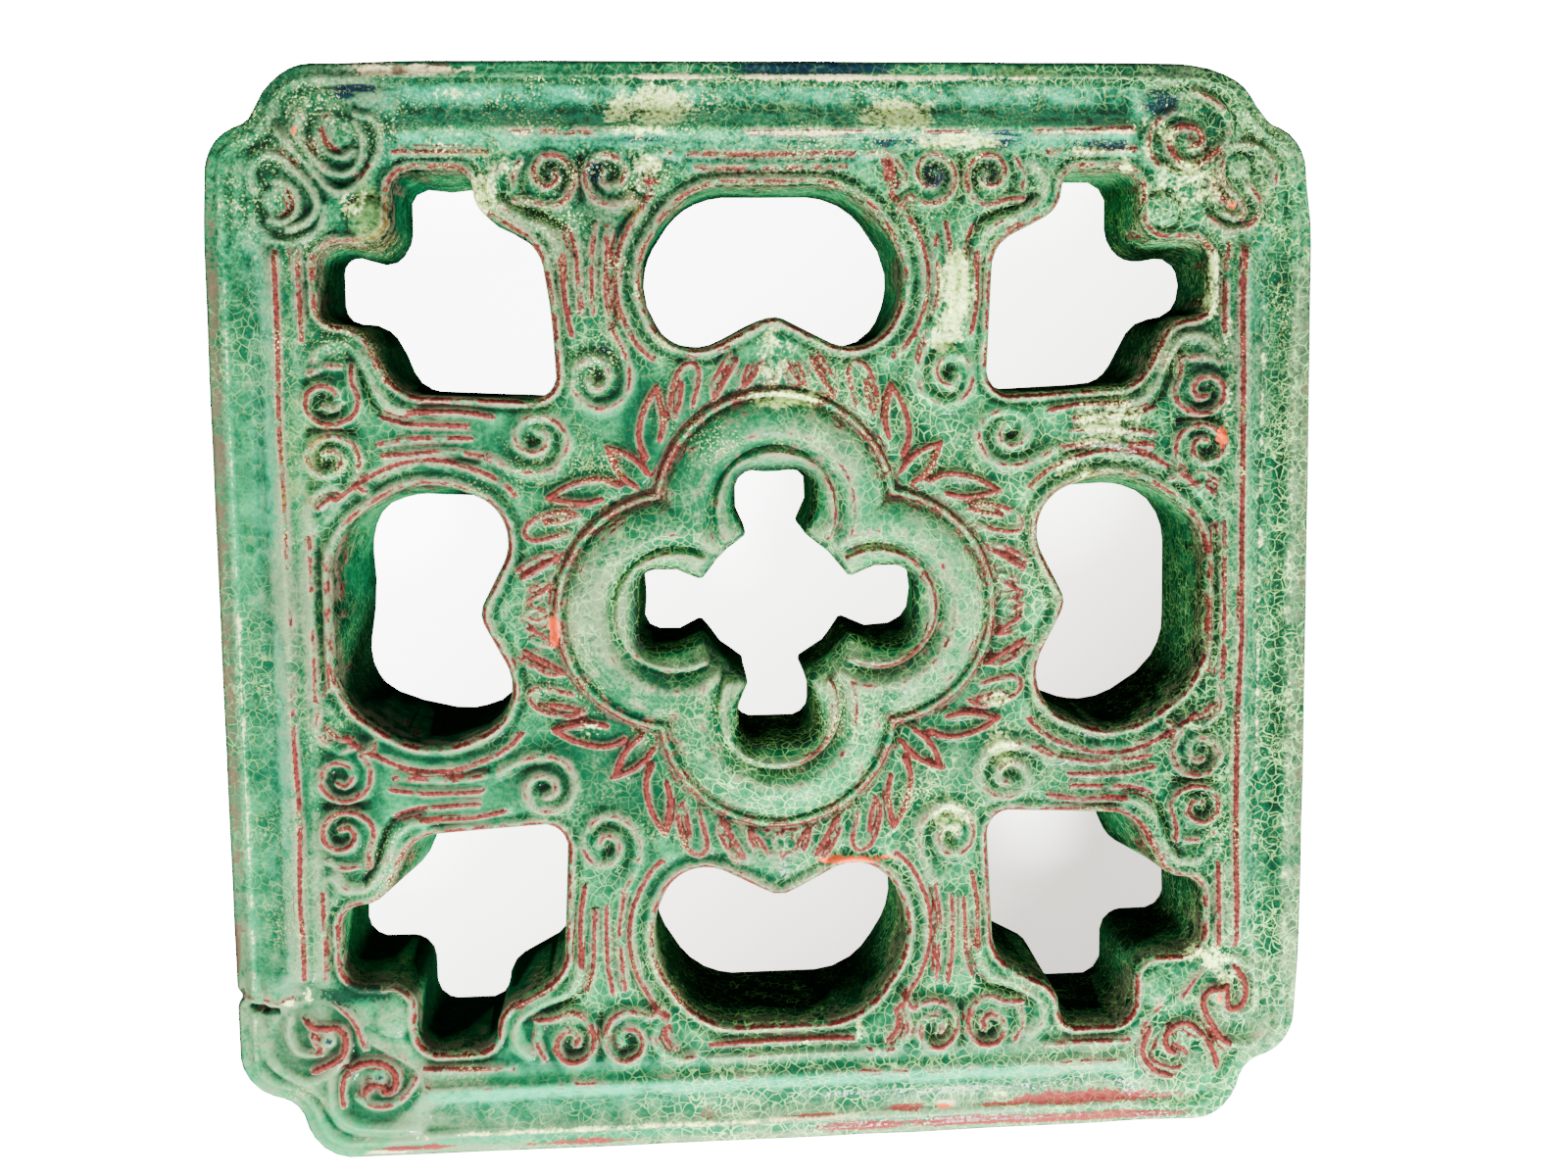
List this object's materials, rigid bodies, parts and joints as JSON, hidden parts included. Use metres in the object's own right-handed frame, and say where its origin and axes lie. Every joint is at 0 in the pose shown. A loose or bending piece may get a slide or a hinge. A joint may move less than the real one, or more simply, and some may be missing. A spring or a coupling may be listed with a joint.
{
  "type": "pierced breeze block tile",
  "caption": "Square pierced ventilation tile with notched corners, a quatrefoil medallion, scrolls and leaves in relief, under green crackled glaze.",
  "frame": {"origin": "middle of the flat back, which is what the tile lies on", "axes": "+Z out of the carved face, +Y up the wall as pictured, +X to the right along the other sides"},
  "size_m": [0.3, 0.3, 0.0492],
  "materials": {
    "green_glaze": "glossy crackled lead glaze over moulded red clay"
  },
  "bodies": {
    "root": {"tile": "green_glaze"}
  },
  "joints": []
}
